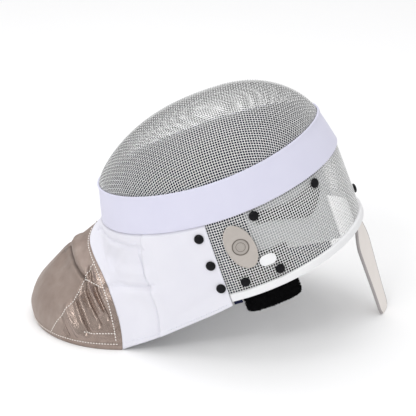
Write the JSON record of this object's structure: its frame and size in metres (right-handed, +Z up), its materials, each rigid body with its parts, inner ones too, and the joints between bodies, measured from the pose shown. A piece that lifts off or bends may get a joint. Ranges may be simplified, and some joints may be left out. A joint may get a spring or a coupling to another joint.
{
  "type": "fencing mask",
  "caption": "Foil fencing mask resting face up: white wire mesh face and sides under a broad trim band, cloth bib with a metallic front, sprung back tongue and dark strap ends.",
  "frame": {"origin": "centre of the bounding box in plan, on the surface that the mask rests on", "axes": "+X from the chin to the crown, +Y to the wearer's right, +Z up with the face upwards and pitched 19.5 degrees up at the crown"},
  "size_m": [0.4386, 0.2424, 0.2946],
  "materials": {
    "white_wire": "satin white enamel on woven steel wire",
    "lilac_elastic": "ribbed elastic, very pale lilac",
    "white_binding": "smooth white edge tape",
    "white_cloth": "plain woven, matt",
    "lame_cloth": "metallic weave, satin with shiny creases",
    "navy_cloth": "brushed, matt",
    "black_foam": "cloth-covered foam, matt",
    "black_enamel": "gloss black",
    "pale_metal": "satin, with a faint pressed ring",
    "white_plastic": "satin",
    "white_padding": "warm white covering over a spring strip",
    "black_pile": "looped pile with fuzzy edges"
  },
  "bodies": {
    "root": {"face_mesh": "white_wire", "side_mesh": "white_wire", "trim_band": "lilac_elastic", "rim_binding": "white_binding", "face_liner": "navy_cloth", "side_pad_left": "black_foam", "side_pad_right": "black_foam", "side_backing_left": "white_cloth", "side_backing_right": "white_cloth", "side_lining_left": "navy_cloth", "side_lining_right": "navy_cloth", "lining_edge_left": "navy_cloth", "lining_edge_right": "navy_cloth", "bib_panel_left": "white_cloth", "bib_panel_right": "white_cloth", "bib_front_left": "white_cloth", "bib_front_right": "white_cloth", "bib_lame": "lame_cloth", "bib_lining": "navy_cloth", "panel_rivet_top_left": "black_enamel", "panel_rivet_top_right": "black_enamel", "panel_rivet_middle_left": "black_enamel", "panel_rivet_middle_right": "black_enamel", "panel_rivet_bottom_left": "black_enamel", "panel_rivet_bottom_right": "black_enamel", "strap_rivet_front_left": "black_enamel", "strap_rivet_front_right": "black_enamel", "strap_rivet_back_left": "black_enamel", "strap_rivet_back_right": "black_enamel", "pad_rivet_front_left": "black_enamel", "pad_rivet_front_right": "black_enamel", "pad_rivet_back_left": "black_enamel", "pad_rivet_back_right": "black_enamel", "crown_rivet": "black_enamel", "oval_plate": "pale_metal", "side_tab": "white_plastic", "back_tongue": "white_padding", "strap_left": "black_pile", "strap_right": "black_pile"}
  },
  "joints": []
}
